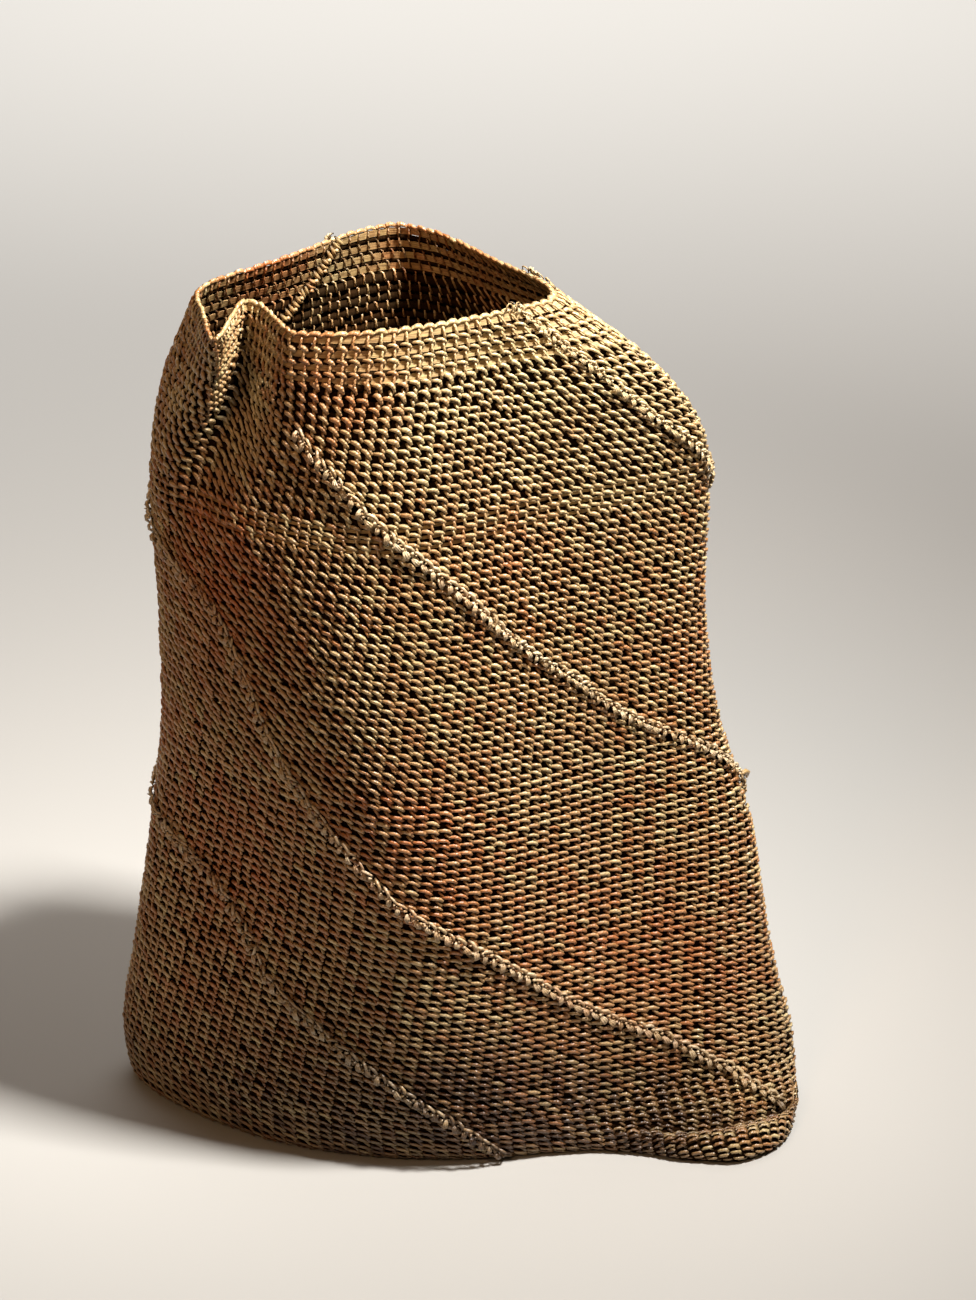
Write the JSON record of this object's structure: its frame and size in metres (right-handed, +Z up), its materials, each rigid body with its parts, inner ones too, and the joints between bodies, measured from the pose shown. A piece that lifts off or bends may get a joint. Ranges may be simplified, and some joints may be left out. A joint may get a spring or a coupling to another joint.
{
  "type": "string bag",
  "caption": "Looped plant-fibre string bag standing open, leaning in to a small pleated mouth, with spiral rows of knots and a flat roll of base cloth at the front right foot.",
  "frame": {"origin": "on the floor under the middle of the bag's flat base", "axes": "+Z up towards the mouth, +X to the right and -Y towards the viewer who faces the pleated side"},
  "size_m": [0.3519, 0.2105, 0.4397],
  "materials": {
    "plant_fibre_string": "matt looped string"
  },
  "bodies": {
    "root": {"bag_body": "plant_fibre_string"}
  },
  "joints": []
}
